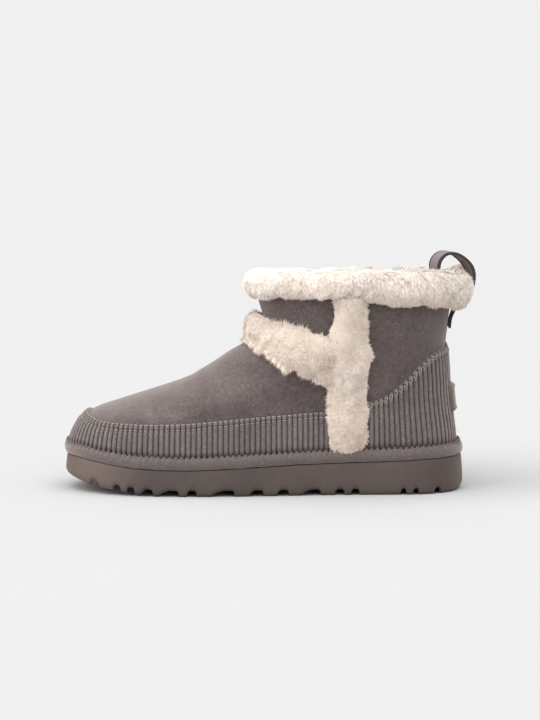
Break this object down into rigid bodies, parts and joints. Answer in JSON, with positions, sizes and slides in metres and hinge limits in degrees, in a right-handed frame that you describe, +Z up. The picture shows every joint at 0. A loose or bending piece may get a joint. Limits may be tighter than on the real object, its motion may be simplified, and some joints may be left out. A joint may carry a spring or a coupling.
{
  "type": "sheepskin ankle boot",
  "caption": "Low left-foot sheepskin boot with a hollow upper open at the collar, ribbed toe band and heel counter, wool cuff and strips, bound welt and a lugged foam sole.",
  "frame": {"origin": "on the floor under the centre of the bounding box", "axes": "-X towards the toe, +X towards the heel, -Y towards the outer (lateral) side of the left foot, +Z up"},
  "size_m": [0.2734, 0.104, 0.1579],
  "materials": {
    "suede": "napped suede, matte",
    "ribbed_suede": "suede embossed with upright ribs, matte",
    "sheepskin": "curly wool pile, matte",
    "sole_foam": "moulded foam rubber, satin",
    "webbing": "woven ribbon, matte"
  },
  "bodies": {
    "root": {"outsole": "sole_foam", "welt_binding": "suede", "upper": "suede", "insole": "sheepskin", "toe_band": "ribbed_suede", "heel_counter": "ribbed_suede", "wool_cuff": "sheepskin", "wool_strip_lateral": "sheepskin", "wool_strip_medial": "sheepskin", "wool_instep_band": "sheepskin", "heel_badge": "suede", "pull_loop": "webbing"}
  },
  "joints": []
}
